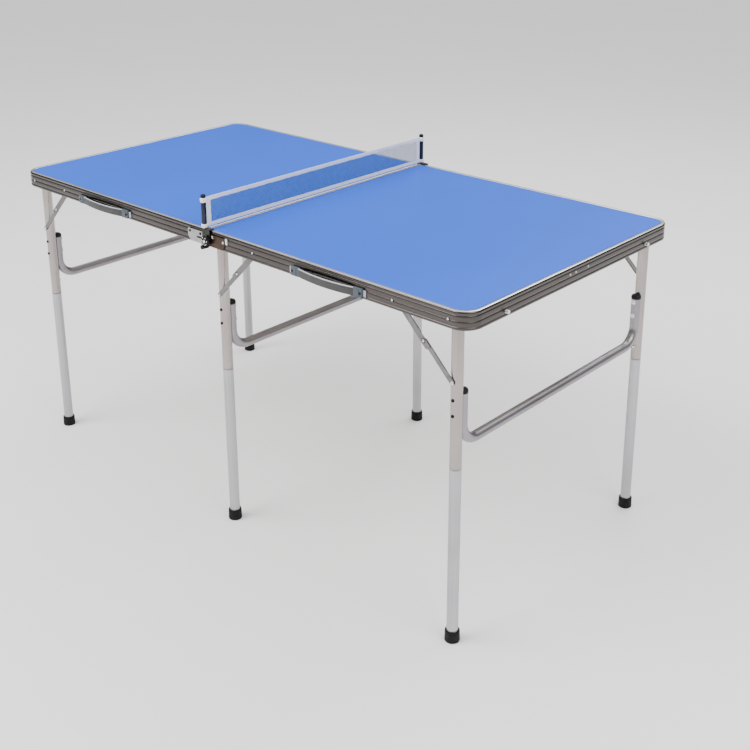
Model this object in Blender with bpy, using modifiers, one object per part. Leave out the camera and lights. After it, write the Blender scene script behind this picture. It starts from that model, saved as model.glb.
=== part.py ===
"""A folding ping pong table: two blue half tops in ridged aluminium rails, hinged at the middle, on three
pairs of tubular legs. Metres, +Z up, X along the table, Y across it. The origin is on the floor, under the
middle of the top. Run with blender --background --python part.py, or from the text editor."""

import math

import bmesh
import bpy
from mathutils import Matrix, Vector

# Driving dimensions
LENGTH = 1.52
WIDTH = 0.76
HEIGHT = 0.76
GAP = 0.0003  # clearance between pieces that touch

# Edge rail: an extruded channel, open to the inside
RAIL_DEPTH = 0.0395
RAIL_WALL = 0.0022
RAIL_LIP = 0.010
LEDGE_REACH = 0.020
FLANGE_REACH = 0.006
CORNER_RADIUS = 0.042
HINGE_CORNER_RADIUS = 0.012
PANEL_THICKNESS = 0.0052

# Legs
TUBE_RADIUS = 0.0125
TUBE_BORE = 0.0113
NECK_RADIUS = 0.0110
NECK_BORE = 0.0098
LEG_Y = 0.3475
PIVOT_Z = 0.7395
DOME_HEIGHT = 0.0120
SEAM_Z = 0.408
NECK_TOP_Z = 0.470
BUTTON_Z = 0.442
BUTTON_RADIUS = 0.0038
FOOT_RADIUS = 0.0165
FOOT_HEIGHT = 0.026
PIVOT_PIN_RADIUS = 0.003

# Each leg frame: where it stands along X, and the way its braces reach and it folds
FRAMES = {"left": (-0.71, 1), "middle": (0.0195, 1), "right": (0.71, -1)}
SIDES = {"near": -1, "far": 1}

# Braces: two flat links from the rail to the leg, straight when the leg stands
BRACE_REACH = 0.1405
LINK_THICKNESS = 0.003
LINK_WIDTH = (0.012, 0.014)  # the lower link, next to the leg, and the upper link outside it
LINK_PIN_RADIUS = 0.0024
LINK_HOLE_RADIUS = 0.0027

# Crossbar: a bent tube whose upturned ends nest against the legs
CROSSBAR_RADIUS = 0.011
CROSSBAR_END_Y = 0.3295
CROSSBAR_Z = 0.455
CROSSBAR_TOP_Z = 0.569
CROSSBAR_BEND = 0.045

# Fold hinge
HINGE_Z = 0.7185
BARREL_RADIUS = 0.005
HINGE_PIN_RADIUS = 0.0022
PLATE_THICKNESS = 0.002

# Net
POST_Y = 0.380
POST_RADIUS = 0.006
POST_BASE_Z = 0.7636
POST_TOP_Z = 0.8425
SPIGOT_RADIUS = 0.0034
SPIGOT_TOP_Z = 0.790
NET_BASE_Z = 0.7640
NET_TOP_Z = 0.8345
NET_THICKNESS = 0.0015
KNOB_X = 0.0130
KNOB_Z = 0.7370
KNOB_RADIUS = 0.0120
KNOB_SCREW_RADIUS = 0.0026

# Carrying handles, and the latches that hold the folded table shut
HANDLE_X = 0.391
HANDLE_LENGTH = 0.205
HANDLE_DEPTH = 0.0155
LATCH_Y = 0.264
LATCH_Z = 0.733

UNDER_TOP = HEIGHT - RAIL_DEPTH
LEDGE_Z = HEIGHT - 0.006
PANEL_Z = LEDGE_Z + GAP
RAIL_INNER_Y = WIDTH / 2 - RAIL_WALL


def clear_scene():
    for obj in list(bpy.data.objects):
        bpy.data.objects.remove(obj)


def new_collection(name, helper=False):
    made = bpy.data.collections.new(name)
    bpy.context.scene.collection.children.link(made)
    made.hide_render = helper
    return made


clear_scene()
PARTS = new_collection("ping_pong_table")
CUTTERS = new_collection("cutters", helper=True)


def material(name, color, roughness, metallic):
    made = bpy.data.materials.new(name)
    made.use_nodes = True
    shader = made.node_tree.nodes["Principled BSDF"]
    shader.inputs["Base Color"].default_value = (*color, 1)
    shader.inputs["Roughness"].default_value = roughness
    shader.inputs["Metallic"].default_value = metallic
    return made


RAIL_METAL = material("rail_aluminium", (0.42, 0.40, 0.39), 0.35, 1.0)
TUBE_METAL = material("tube_aluminium", (0.70, 0.70, 0.72), 0.38, 1.0)
STEEL = material("zinc_steel", (0.60, 0.59, 0.57), 0.30, 1.0)
TOP_BLUE = material("top_blue", (0.10, 0.24, 0.62), 0.45, 0.0)
BLACK_PLASTIC = material("black_plastic", (0.02, 0.02, 0.02), 0.5, 0.0)
GREY_PLASTIC = material("grey_plastic", (0.36, 0.39, 0.43), 0.5, 0.0)
NET_MESH = material("net_mesh", (0.20, 0.38, 0.72), 0.9, 0.0)


# ---------------------------------------------------------------- placing and joining


def pivot(name, at, parent=None):
    """An empty on a joint's axis, which carries the pieces that move there."""
    empty = bpy.data.objects.new(name, None)
    empty.empty_display_size = 0.02
    PARTS.objects.link(empty)
    empty["at"] = at
    place(empty, parent)
    empty.location = at
    return empty


def place(obj, parent):
    """Parent an object and keep its location in world metres."""
    if parent is not None:
        obj.parent = parent
        obj.matrix_parent_inverse = Matrix.Translation(Vector(parent["at"])).inverted()


def part(obj, look, parent=None):
    obj.data.materials.clear()
    obj.data.materials.append(look)
    PARTS.objects.link(obj)
    place(obj, parent)
    return obj


def helper(obj):
    obj.hide_render = True
    obj.display_type = "WIRE"
    CUTTERS.objects.link(obj)
    return obj


def boolean(obj, other, operation):
    modifier = obj.modifiers.new(operation.lower(), "BOOLEAN")
    modifier.operation = operation
    modifier.object = other
    modifier.solver = "EXACT"


def mesh_object(name, bm):
    bmesh.ops.recalc_face_normals(bm, faces=bm.faces)
    mesh = bpy.data.meshes.new(name)
    bm.to_mesh(mesh)
    bm.free()
    return bpy.data.objects.new(name, mesh)


# ---------------------------------------------------------------- shapes


def box(name, low, high):
    bm = bmesh.new()
    bmesh.ops.create_cube(bm, size=1)
    size = Vector(high) - Vector(low)
    bmesh.ops.scale(bm, vec=size, verts=bm.verts)
    obj = mesh_object(name, bm)
    obj.location = (Vector(low) + Vector(high)) / 2
    return obj


def rod(name, start, end, radius, segments=12):
    """A solid cylinder between two points."""
    start, end = Vector(start), Vector(end)
    bm = bmesh.new()
    bmesh.ops.create_cone(
        bm, cap_ends=True, segments=segments, radius1=radius, radius2=radius, depth=(end - start).length
    )
    turn = (end - start).to_track_quat("Z", "Y").to_matrix()
    bmesh.ops.transform(bm, matrix=turn.to_4x4(), verts=bm.verts)
    obj = mesh_object(name, bm)
    obj.location = (start + end) / 2
    return obj


def turned(name, profile, closed, steps=20):
    """A profile of (radius, height) points turned about Z. A closed profile makes a tube; an open one starts
    and ends on the axis. It runs down the outer side."""
    mesh = bpy.data.meshes.new(name)
    points = [(radius, 0, height) for radius, height in profile]
    edges = [(i, i + 1) for i in range(len(points) - 1)]
    if closed:
        edges.append((len(points) - 1, 0))
    mesh.from_pydata(points, edges, [])
    obj = bpy.data.objects.new(name, mesh)
    screw = obj.modifiers.new("turn", "SCREW")
    screw.steps = steps
    screw.render_steps = steps
    screw.use_merge_vertices = True
    screw.merge_threshold = 1e-5
    return obj


def prism(name, outline, thickness, holes=()):
    """A flat outline in X and Y with holes, thickness about Z = 0."""
    curve = bpy.data.curves.new(name, "CURVE")
    curve.dimensions = "2D"
    curve.fill_mode = "BOTH"
    curve.extrude = thickness / 2
    for points in (outline, *holes):
        spline = curve.splines.new("POLY")
        spline.points.add(len(points) - 1)
        spline.use_cyclic_u = True
        for point, (x, y) in zip(spline.points, points):
            point.co = (x, y, 0, 1)
    drawn = bpy.data.objects.new(name + "_outline", curve)
    CUTTERS.objects.link(drawn)
    bpy.context.view_layer.update()
    graph = bpy.context.evaluated_depsgraph_get()
    mesh = bpy.data.meshes.new_from_object(drawn.evaluated_get(graph))
    bpy.data.objects.remove(drawn)
    bm = bmesh.new()
    bm.from_mesh(mesh)
    bpy.data.meshes.remove(mesh)
    bmesh.ops.remove_doubles(bm, verts=bm.verts, dist=1e-6)
    return mesh_object(name, bm)


def circle(x, y, radius, count):
    turns = [2 * math.pi * i / count for i in range(count)]
    return [(x + radius * math.cos(t), y + radius * math.sin(t)) for t in turns]


def arc(x, y, radius, start, end, steps):
    turns = [math.radians(start + (end - start) * i / steps) for i in range(steps + 1)]
    return [(x + radius * math.cos(t), y + radius * math.sin(t)) for t in turns]


def bent_tube(name, route, radius):
    """A round tube along a list of points, as one closed mesh."""
    curve = bpy.data.curves.new(name, "CURVE")
    curve.dimensions = "3D"
    curve.bevel_depth = radius
    curve.bevel_resolution = 3
    curve.use_fill_caps = True
    spline = curve.splines.new("POLY")
    spline.points.add(len(route) - 1)
    for point, at in zip(spline.points, route):
        point.co = (*at, 1)
    drawn = bpy.data.objects.new(name + "_route", curve)
    CUTTERS.objects.link(drawn)
    bpy.context.view_layer.update()
    graph = bpy.context.evaluated_depsgraph_get()
    mesh = bpy.data.meshes.new_from_object(drawn.evaluated_get(graph))
    bpy.data.objects.remove(drawn)
    bm = bmesh.new()
    bm.from_mesh(mesh)
    bpy.data.meshes.remove(mesh)
    bmesh.ops.remove_doubles(bm, verts=bm.verts, dist=1e-6)
    return mesh_object(name, bm)


# ---------------------------------------------------------------- half tops


def half_outline(sign, inset):
    """The outline of one half top, drawn in by inset, with wide corners at the table's end."""
    inner, outer = GAP + inset, LENGTH / 2 - inset
    edge = WIDTH / 2 - inset
    wide = max(CORNER_RADIUS - inset, 0.001)
    tight = max(HINGE_CORNER_RADIUS - inset, 0.001)
    points = arc(outer - wide, -edge + wide, wide, -90, 0, 6)
    points += arc(outer - wide, edge - wide, wide, 0, 90, 6)
    points += arc(inner + tight, edge - tight, tight, 90, 180, 3)
    points += arc(inner + tight, -edge + tight, tight, 180, 270, 3)
    return [(sign * x, y) for x, y in points]


def rail_profile():
    """(inset, height) round the rail's section: ridged outer wall, rounded lip, ledge and foot flange."""
    ridge = 0.0010
    low = UNDER_TOP
    groove_a, groove_b = low + 0.0105, low + 0.0225
    return [
        (0, low),
        (0, groove_a),
        (ridge, groove_a + 0.001),
        (0, groove_a + 0.002),
        (0, groove_b),
        (ridge, groove_b + 0.001),
        (0, groove_b + 0.002),
        (0, HEIGHT - 0.004),
        (0.0012, HEIGHT - 0.0012),
        (0.004, HEIGHT),
        (RAIL_LIP, HEIGHT),
        (RAIL_LIP, LEDGE_Z),
        (LEDGE_REACH, LEDGE_Z),
        (LEDGE_REACH, LEDGE_Z - 0.0018),
        (RAIL_WALL, LEDGE_Z - 0.0018),
        (RAIL_WALL, low + RAIL_WALL),
        (FLANGE_REACH, low + RAIL_WALL),
        (FLANGE_REACH, low),
    ]


def rail_frame(name, sign):
    """The rail's section carried round one half's outline, mitred at every point."""
    bm = bmesh.new()
    rings = []
    for inset, height in rail_profile():
        rings.append([bm.verts.new((x, y, height)) for x, y in half_outline(sign, inset)])
    for ring, after in zip(rings, rings[1:] + rings[:1]):
        count = len(ring)
        for i in range(count):
            j = (i + 1) % count
            bm.faces.new((ring[i], ring[j], after[j], after[i]))
    return mesh_object(name, bm)


def rail_pins(frame, half):
    """Pins fixed in the side rails, on which the legs and the braces turn."""
    for place_name, (x, reach) in FRAMES.items():
        if (place_name == "left") != (half == "left"):
            continue
        for side, sign in SIDES.items():
            tag = f"{place_name}_{side}"
            wall = sign * (RAIL_INNER_Y + 0.0010)
            leg_end = sign * (LEG_Y - TUBE_RADIUS - 0.004)
            boolean(
                frame,
                helper(rod(f"leg_pin_{tag}", (x, wall, PIVOT_Z), (x, leg_end, PIVOT_Z), PIVOT_PIN_RADIUS)),
                "UNION",
            )
            brace_x = x + reach * BRACE_REACH
            link_end = sign * (link_y(1)[0] - GAP / 2)
            boolean(
                frame,
                helper(
                    rod(
                        f"brace_pin_{tag}", (brace_x, wall, PIVOT_Z), (brace_x, link_end, PIVOT_Z), LINK_PIN_RADIUS
                    )
                ),
                "UNION",
            )


def link_y(layer):
    """(inner, outer) distance from the table's centre line of a brace link; layer 0 is next to the leg."""
    inner = LEG_Y + TUBE_RADIUS + 0.0008 + layer * (LINK_THICKNESS + GAP)
    return inner, inner + LINK_THICKNESS


def latch_studs(frame):
    for side, sign in SIDES.items():
        start = (LENGTH / 2 - 0.0015, sign * LATCH_Y, LATCH_Z)
        end = (LENGTH / 2 + 0.008, sign * LATCH_Y, LATCH_Z)
        boolean(frame, helper(rod(f"latch_stud_{side}", start, end, 0.0025)), "UNION")


def latch_hook(side, sign, left_half):
    """A small hook plate that hangs from a rivet in the left end rail."""
    at = (-LENGTH / 2 - GAP - 0.0015, sign * LATCH_Y, LATCH_Z)
    turn = pivot(f"latch_pivot_{side}", at, left_half)
    outline = arc(0, 0, 0.006, 0, 180, 5) + arc(0, -0.030, 0.006, 180, 360, 5)
    slot = [(-0.0075, -0.0325), (0.0029, -0.0325), (0.0029, -0.0265), (-0.0075, -0.0265)]
    hook = prism(f"latch_hook_{side}", outline, 0.003)
    hook.matrix_basis = Matrix.Translation(at) @ Matrix(((0, 0, 1, 0), (1, 0, 0, 0), (0, 1, 0, 0), (0, 0, 0, 1)))
    cut = helper(prism(f"latch_slot_{side}", slot, 0.01))
    cut.matrix_basis = hook.matrix_basis.copy()
    boolean(hook, cut, "DIFFERENCE")
    boss = helper(
        rod(f"latch_boss_{side}", (at[0] + 0.001, at[1], at[2]), (-LENGTH / 2 - 0.008, at[1], at[2]), 0.004)
    )
    boolean(hook, boss, "UNION")
    part(hook, STEEL, turn)


def panel(name, sign):
    obj = prism(name, half_outline(sign, RAIL_LIP + GAP), PANEL_THICKNESS)
    obj.location = (0, 0, PANEL_Z + PANEL_THICKNESS / 2)
    return obj


def batten(name, sign):
    """A flat bar under the panel, between the ledges."""
    inner, outer = LEDGE_REACH + 2 * GAP, LENGTH / 2 - LEDGE_REACH - GAP
    ends = sorted((sign * inner, sign * outer))
    return box(name, (ends[0], -0.020, LEDGE_Z - 0.008), (ends[1], 0.020, LEDGE_Z))


# ---------------------------------------------------------------- fold hinge


def hinge_plate(half, side, sign, parent):
    """A plate on the side rail with half of the hinge's barrel at its foot. The right one carries the pin."""
    way = -1 if half == "left" else 1
    length = 0.059 if half == "left" else 0.070
    face = WIDTH / 2 + GAP
    inner = 0.0025 if half == "left" else 0.0058
    outline = [
        (way * inner, -0.002),
        (way * inner, 0.034),
        (way * length, 0.034),
        (way * length, 0.016),
        (way * (length - 0.010), 0.004),
        (way * 0.016, 0.004),
        (way * 0.0105, -0.002),
    ]
    plate = prism(f"hinge_plate_{half}_{side}", outline, PLATE_THICKNESS)
    plate.location = (0, sign * (face + PLATE_THICKNESS / 2), HINGE_Z)
    plate.rotation_euler = (math.pi / 2, 0, 0)
    barrel = (face, face + 0.0058) if half == "left" else (face + 0.0061, face + 0.0120)
    arm = barrel if half == "left" else (face, face + 0.0120)
    tag = f"{half}_{side}"
    if half == "right":
        reach = helper(
            box(
                f"hinge_arm_{tag}",
                (0.0056, min(sign * arm[0], sign * arm[1]), HINGE_Z - 0.0015),
                (0.0100, max(sign * arm[0], sign * arm[1]), HINGE_Z + 0.0025),
            )
        )
        boolean(plate, reach, "UNION")
        nose = helper(
            box(
                f"hinge_nose_{tag}",
                (0, min(sign * barrel[0], sign * barrel[1]), HINGE_Z - 0.0015),
                (0.0080, max(sign * barrel[0], sign * barrel[1]), HINGE_Z + 0.0015),
            )
        )
        boolean(plate, nose, "UNION")
    eye = rod(f"hinge_eye_{tag}", (0, sign * barrel[0], HINGE_Z), (0, sign * barrel[1], HINGE_Z), BARREL_RADIUS, 16)
    boolean(plate, helper(eye), "UNION")
    if half == "left":
        bore = rod(
            f"hinge_bore_{tag}", (0, sign * (face - 0.002), HINGE_Z), (0, sign * (face + 0.010), HINGE_Z),
            HINGE_PIN_RADIUS + 0.0004, 16,
        )
        boolean(plate, helper(bore), "DIFFERENCE")
    else:
        pin = rod(f"hinge_pin_{tag}", (0, sign * (face + 0.0003), HINGE_Z), (0, sign * (face + 0.007), HINGE_Z),
                  HINGE_PIN_RADIUS, 16)
        boolean(plate, helper(pin), "UNION")
        thread = rod(f"knob_thread_{tag}", (KNOB_X, sign * (face - 0.003), KNOB_Z), (KNOB_X, sign * (face + 0.005), KNOB_Z),
                     KNOB_SCREW_RADIUS + 0.0005)
        boolean(plate, helper(thread), "DIFFERENCE")
    part(plate, STEEL, parent)


# ---------------------------------------------------------------- legs


def upper_leg(tag, x, sign, parent):
    """The fixed upper tube: domed at the pivot, open below, with a window for the snap button and a stud for
    the lower brace link."""
    turns = [math.radians(a) for a in (0, 30, 60, 90)]
    dome = [(TUBE_RADIUS * math.sin(t), PIVOT_Z + DOME_HEIGHT * math.cos(t)) for t in turns]
    profile = dome + [(TUBE_RADIUS, SEAM_Z + GAP), (TUBE_BORE, SEAM_Z + GAP), (TUBE_BORE, 0.716), (0, 0.722)]
    tube = turned(f"leg_upper_{tag}", profile, closed=False)
    tube.location = (x, sign * LEG_Y, 0)
    outside, inside = sign * (LEG_Y + 0.02), sign * (LEG_Y - 0.02)
    hole = rod(f"pivot_hole_{tag}", (x, outside, PIVOT_Z), (x, inside, PIVOT_Z), PIVOT_PIN_RADIUS + GAP, 12)
    boolean(tube, helper(hole), "DIFFERENCE")
    window = rod(f"button_window_{tag}", (x, sign * LEG_Y, BUTTON_Z), (x, inside, BUTTON_Z), BUTTON_RADIUS + 0.0005)
    boolean(tube, helper(window), "DIFFERENCE")
    stud_z = PIVOT_Z - BRACE_REACH
    stud = rod(
        f"brace_stud_{tag}",
        (x, sign * (LEG_Y + 0.0118), stud_z),
        (x, sign * link_y(0)[1], stud_z),
        LINK_PIN_RADIUS,
    )
    boolean(tube, helper(stud), "UNION")
    part(tube, TUBE_METAL, parent)


def lower_leg(tag, x, sign, parent):
    """The pull-out lower tube, with a narrower neck that plugs into the upper tube."""
    profile = [
        (NECK_BORE, NECK_TOP_Z),
        (NECK_RADIUS, NECK_TOP_Z),
        (NECK_RADIUS, SEAM_Z),
        (TUBE_RADIUS, SEAM_Z - 0.0005),
        (TUBE_RADIUS, 0.0043),
        (TUBE_BORE, 0.0043),
        (TUBE_BORE, SEAM_Z - 0.008),
        (NECK_BORE, SEAM_Z),
    ]
    tube = turned(f"leg_lower_{tag}", profile, closed=True)
    tube.location = (x, sign * LEG_Y, 0)
    hole = rod(
        f"neck_hole_{tag}",
        (x, sign * LEG_Y, BUTTON_Z),
        (x, sign * (LEG_Y - 0.02), BUTTON_Z),
        BUTTON_RADIUS + 0.0008,
    )
    boolean(tube, helper(hole), "DIFFERENCE")
    part(tube, TUBE_METAL, parent)


def foot(tag, x, sign, parent):
    profile = [
        (0, FOOT_HEIGHT - 0.022),
        (TUBE_RADIUS + GAP, FOOT_HEIGHT - 0.022),
        (TUBE_RADIUS + GAP, FOOT_HEIGHT),
        (FOOT_RADIUS - 0.001, FOOT_HEIGHT),
        (FOOT_RADIUS, FOOT_HEIGHT - 0.002),
        (FOOT_RADIUS, 0.0015),
        (FOOT_RADIUS - 0.0015, 0),
        (0, 0),
    ]
    cap = turned(f"foot_{tag}", profile, closed=False)
    cap.location = (x, sign * LEG_Y, 0)
    part(cap, BLACK_PLASTIC, parent)


def snap_button(tag, x, sign, frame_pivot):
    """A sprung button in the upper tube's window. It faces the other leg of the pair."""
    at = (x, sign * (LEG_Y - 0.0116), BUTTON_Z)
    turn = pivot(f"button_axis_{tag}", at, frame_pivot)
    profile = [(0, 0.0039), (0.0020, 0.0036), (0.0033, 0.0026), (BUTTON_RADIUS, 0.0014), (BUTTON_RADIUS, 0), (0, 0)]
    button = turned(f"snap_button_{tag}", profile, closed=False, steps=12)
    button.location = at
    button.rotation_euler = (sign * math.pi / 2, 0, 0)
    part(button, STEEL, turn)


def crossbar(place_name, x, parent):
    """A bent tube with upturned ends, each hollowed where it nests against its leg."""
    bend = CROSSBAR_BEND
    inner_y, low_z = CROSSBAR_END_Y - bend, CROSSBAR_Z + bend
    corner = arc(inner_y, low_z, bend, 0, -90, 5)
    half = [(CROSSBAR_END_Y, CROSSBAR_TOP_Z), *corner]
    route = [(x, y, z) for y, z in half] + [(x, -y, z) for y, z in reversed(half)]
    tube = bent_tube(f"crossbar_{place_name}", route, CROSSBAR_RADIUS)
    for side, sign in SIDES.items():
        nest = rod(
            f"nest_{place_name}_{side}",
            (x, sign * LEG_Y, CROSSBAR_Z - 0.03),
            (x, sign * LEG_Y, CROSSBAR_TOP_Z + 0.03),
            TUBE_RADIUS + 0.0004,
            24,
        )
        boolean(tube, helper(nest), "DIFFERENCE")
    part(tube, TUBE_METAL, parent)


def brace_link(name, at, toward, layer, sign, parent):
    """A flat link with a pin hole at one end, reaching toward the point where the two links meet."""
    span = Vector((toward[0] - at[0], toward[1] - at[1]))
    turn = pivot(name + "_pivot", (at[0], sign * link_y(layer)[0], at[1]), parent)
    half = LINK_WIDTH[layer] / 2
    outline = arc(0, 0, half, 90, 270, 6) + arc(span.length, 0, half, -90, 90, 6)
    link = prism(name, outline, LINK_THICKNESS, holes=[circle(0, 0, LINK_HOLE_RADIUS, 12)])
    link.location = (at[0], sign * sum(link_y(layer)) / 2, at[1])
    link.rotation_euler = (math.pi / 2, -math.atan2(span.y, span.x), 0)
    part(link, STEEL, turn)


def leg_frame(place_name, top):
    """Two legs, their feet, buttons, braces and crossbar, all turning on one axis across the table."""
    x, reach = FRAMES[place_name]
    frame_pivot = pivot(f"leg_pivot_{place_name}", (x, 0, PIVOT_Z), top)
    crossbar(place_name, x, frame_pivot)
    rail_point = (x + reach * BRACE_REACH, PIVOT_Z)
    leg_point = (x, PIVOT_Z - BRACE_REACH)
    knee = ((rail_point[0] + leg_point[0]) / 2, (rail_point[1] + leg_point[1]) / 2)
    for side, sign in SIDES.items():
        tag = f"{place_name}_{side}"
        upper_leg(tag, x, sign, frame_pivot)
        pull = pivot(f"leg_pull_{tag}", (x, sign * LEG_Y, SEAM_Z), frame_pivot)
        lower_leg(tag, x, sign, pull)
        foot(tag, x, sign, pull)
        snap_button(tag, x, sign, frame_pivot)
        brace_link(f"brace_upper_{tag}", rail_point, knee, 1, sign, top)
        brace_link(f"brace_lower_{tag}", leg_point, knee, 0, sign, frame_pivot)


# ---------------------------------------------------------------- handles


def handle(name, x):
    """A moulded strap that bows out from the near rail between two end blocks."""
    half, block, thick, flat = HANDLE_LENGTH / 2, 0.024, 0.0032, 0.0062
    start = -half + block
    steps = 12
    xs = [start + (2 * -start) * i / steps for i in range(steps + 1)]
    bow = [0.0025 + (HANDLE_DEPTH - thick - 0.0025) * math.sin(math.pi * i / steps) ** 0.7 for i in range(steps + 1)]
    outline = [(-half, 0), (-half, -flat), (start - 0.001, -flat)]
    outline += [(px, -depth - thick) for px, depth in zip(xs, bow)]
    outline += [(-start + 0.001, -flat), (half, -flat), (half, 0), (-start, 0)]
    outline += [(px, -depth) for px, depth in reversed(list(zip(xs, bow)))]
    outline += [(start, 0)]
    obj = prism(name, outline, 0.022)
    obj.location = (x, -WIDTH / 2 - GAP, 0.7335)
    return obj


# ---------------------------------------------------------------- net


def net_post(side, sign, parent):
    profile = [
        (0, POST_TOP_Z),
        (POST_RADIUS - 0.0015, POST_TOP_Z - 0.0005),
        (POST_RADIUS, POST_TOP_Z - 0.0020),
        (POST_RADIUS, POST_BASE_Z),
        (SPIGOT_RADIUS + GAP, POST_BASE_Z),
        (SPIGOT_RADIUS + GAP, SPIGOT_TOP_Z + GAP),
        (0, SPIGOT_TOP_Z + GAP),
    ]
    post = turned(f"net_post_{side}", profile, closed=False, steps=16)
    post.location = (0, sign * POST_Y, 0)
    part(post, STEEL, parent)


def net_bracket(side, sign, parent):
    """An angle plate over the seam with a spigot for the post. A knob's screw holds it to the hinge plate."""
    tag = f"net_bracket_{side}"
    rail_face = WIDTH / 2 + GAP + PLATE_THICKNESS + GAP

    def slab(name, x, y, z):
        ys = sorted((sign * y[0], sign * y[1]))
        return box(name, (x[0], ys[0], z[0]), (x[1], ys[1], z[1]))

    front = slab(tag, (-0.0050, 0.0215), (rail_face, rail_face + 0.0020), (KNOB_Z - 0.0095, HEIGHT + 0.0025))
    shelf = slab(f"{tag}_shelf", (-0.0080, 0.0215), (0.3706, rail_face + 0.0015), (HEIGHT + GAP, HEIGHT + 0.0030))
    boolean(front, helper(shelf), "UNION")
    spigot = rod(f"{tag}_spigot", (0, sign * POST_Y, HEIGHT + 0.0010), (0, sign * POST_Y, SPIGOT_TOP_Z), SPIGOT_RADIUS, 16)
    boolean(front, helper(spigot), "UNION")
    hole = rod(f"{tag}_hole", (KNOB_X, sign * 0.378, KNOB_Z), (KNOB_X, sign * 0.392, KNOB_Z), KNOB_SCREW_RADIUS + 0.0005)
    boolean(front, helper(hole), "DIFFERENCE")
    part(front, STEEL, parent)


def bracket_knob(side, sign, parent):
    """A round hand knob with its screw, on an axis across the table."""
    inner = WIDTH / 2 + GAP + 2 * (PLATE_THICKNESS + GAP)
    outer = WIDTH / 2 + GAP + HANDLE_DEPTH
    at = (KNOB_X, sign * inner, KNOB_Z)
    turn = pivot(f"bracket_knob_axis_{side}", at, parent)
    depth = outer - inner
    profile = [
        (0, depth),
        (0.0070, depth),
        (0.0100, depth - 0.0015),
        (KNOB_RADIUS, depth - 0.0035),
        (KNOB_RADIUS, 0.0025),
        (0.0080, 0.0010),
        (0.0050, 0),
        (KNOB_SCREW_RADIUS, 0),
        (KNOB_SCREW_RADIUS, -0.0043),
        (0, -0.0043),
    ]
    knob = turned(f"bracket_knob_{side}", profile, closed=False, steps=20)
    knob.location = at
    knob.rotation_euler = (-sign * math.pi / 2, 0, 0)
    part(knob, BLACK_PLASTIC, turn)


def net(parent):
    reach = POST_Y - POST_RADIUS - 0.0012
    obj = box("net", (-NET_THICKNESS / 2, -reach, NET_BASE_Z), (NET_THICKNESS / 2, reach, NET_TOP_Z))
    part(obj, NET_MESH, parent)


# ---------------------------------------------------------------- the table


def build():
    left_half = pivot("top_fold_axis", (0, 0, HINGE_Z))
    for half, sign, parent in (("left", -1, left_half), ("right", 1, None)):
        frame = rail_frame(f"rail_frame_{half}", sign)
        rail_pins(frame, half)
        if half == "right":
            latch_studs(frame)
        part(frame, RAIL_METAL, parent)
        part(panel(f"top_panel_{half}", sign), TOP_BLUE, parent)
        part(batten(f"batten_{half}", sign), TUBE_METAL, parent)
        part(handle(f"handle_{half}", sign * HANDLE_X), GREY_PLASTIC, parent)
        for side, across in SIDES.items():
            hinge_plate(half, side, across, parent)
    for side, across in SIDES.items():
        latch_hook(side, across, left_half)
    leg_frame("left", left_half)
    leg_frame("middle", None)
    leg_frame("right", None)
    net_lift = pivot("net_lift_axis", (0, 0, POST_BASE_Z))
    net(net_lift)
    for side, across in SIDES.items():
        net_post(side, across, net_lift)
        net_bracket(side, across, None)
        bracket_knob(side, across, None)


build()
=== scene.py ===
"""The ping pong table's looks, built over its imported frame. Metres, +Z up, in the CAD's own frame."""

import math

import bmesh
import bpy
from mathutils import Matrix, Vector


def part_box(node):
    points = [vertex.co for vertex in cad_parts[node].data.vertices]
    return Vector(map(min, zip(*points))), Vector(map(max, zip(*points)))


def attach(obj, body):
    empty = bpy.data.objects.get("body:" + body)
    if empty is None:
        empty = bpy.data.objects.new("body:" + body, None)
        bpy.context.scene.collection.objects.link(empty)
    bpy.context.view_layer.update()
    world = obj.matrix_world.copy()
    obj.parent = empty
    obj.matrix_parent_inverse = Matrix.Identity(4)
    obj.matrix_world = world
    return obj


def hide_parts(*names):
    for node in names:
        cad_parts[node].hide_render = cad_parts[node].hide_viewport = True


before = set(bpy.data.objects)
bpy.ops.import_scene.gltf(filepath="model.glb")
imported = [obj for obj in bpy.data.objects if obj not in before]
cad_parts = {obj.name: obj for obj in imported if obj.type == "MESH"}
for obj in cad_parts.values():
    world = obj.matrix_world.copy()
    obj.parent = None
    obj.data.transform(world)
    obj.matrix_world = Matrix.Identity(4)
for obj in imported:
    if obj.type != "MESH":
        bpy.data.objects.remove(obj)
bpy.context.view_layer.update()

SIDES = {"near": -1, "far": 1}
HALVES = {"left": -1, "right": 1}
FRAMES = {"left": 1, "middle": 1, "right": -1}  # the way each leg frame's braces reach


def middle(node):
    low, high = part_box(node)
    return (low + high) / 2


# Sizes read from the frame, and the few of the CAD's that its boxes don't show
RAIL_LOW, RAIL_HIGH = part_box("rail_frame_right")
PANEL_LOW, PANEL_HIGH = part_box("top_panel_right")
TOP = RAIL_HIGH.z
LOW = RAIL_LOW.z
FACE = RAIL_HIGH.y  # the side rails' outer face, 0.38 from the middle
END = 0.76  # the end rail's outer face, without the latch studs
GAP = 0.0003
WALL = 0.0022
LIP = 0.010
LEDGE = 0.020
LEDGE_Z = TOP - 0.006
CORNER, TIGHT = 0.042, 0.012
LEG_R = 0.0125
LEG_Y = middle("leg_lower_right_far").y
PIVOT_Z = TOP - 0.0205
SEAM = 0.408
BUTTON_Z = middle("snap_button_right_far").z
BRACE = 0.1405
LEG_X = {f: middle(f"leg_lower_{f}_near").x for f in FRAMES}
TUBE_BORE = 0.0113
BOLT_HEIGHTS = (0.561, 0.527)  # where the crossbar is bolted to each leg
BRACE_PIN_END = 0.3640  # from the table's middle plane, as the links' layers below are
UPPER_WEB, UPPER_FLANGE = (0.3656, 0.3671), (0.3641, 0.3664)
LOWER_WEB, LOWER_FLANGE = (0.3624, 0.3638), (0.3608, 0.3632)
LATCH_Y, LATCH_Z = 0.264, 0.733
HINGE_Z = 0.7185
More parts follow.
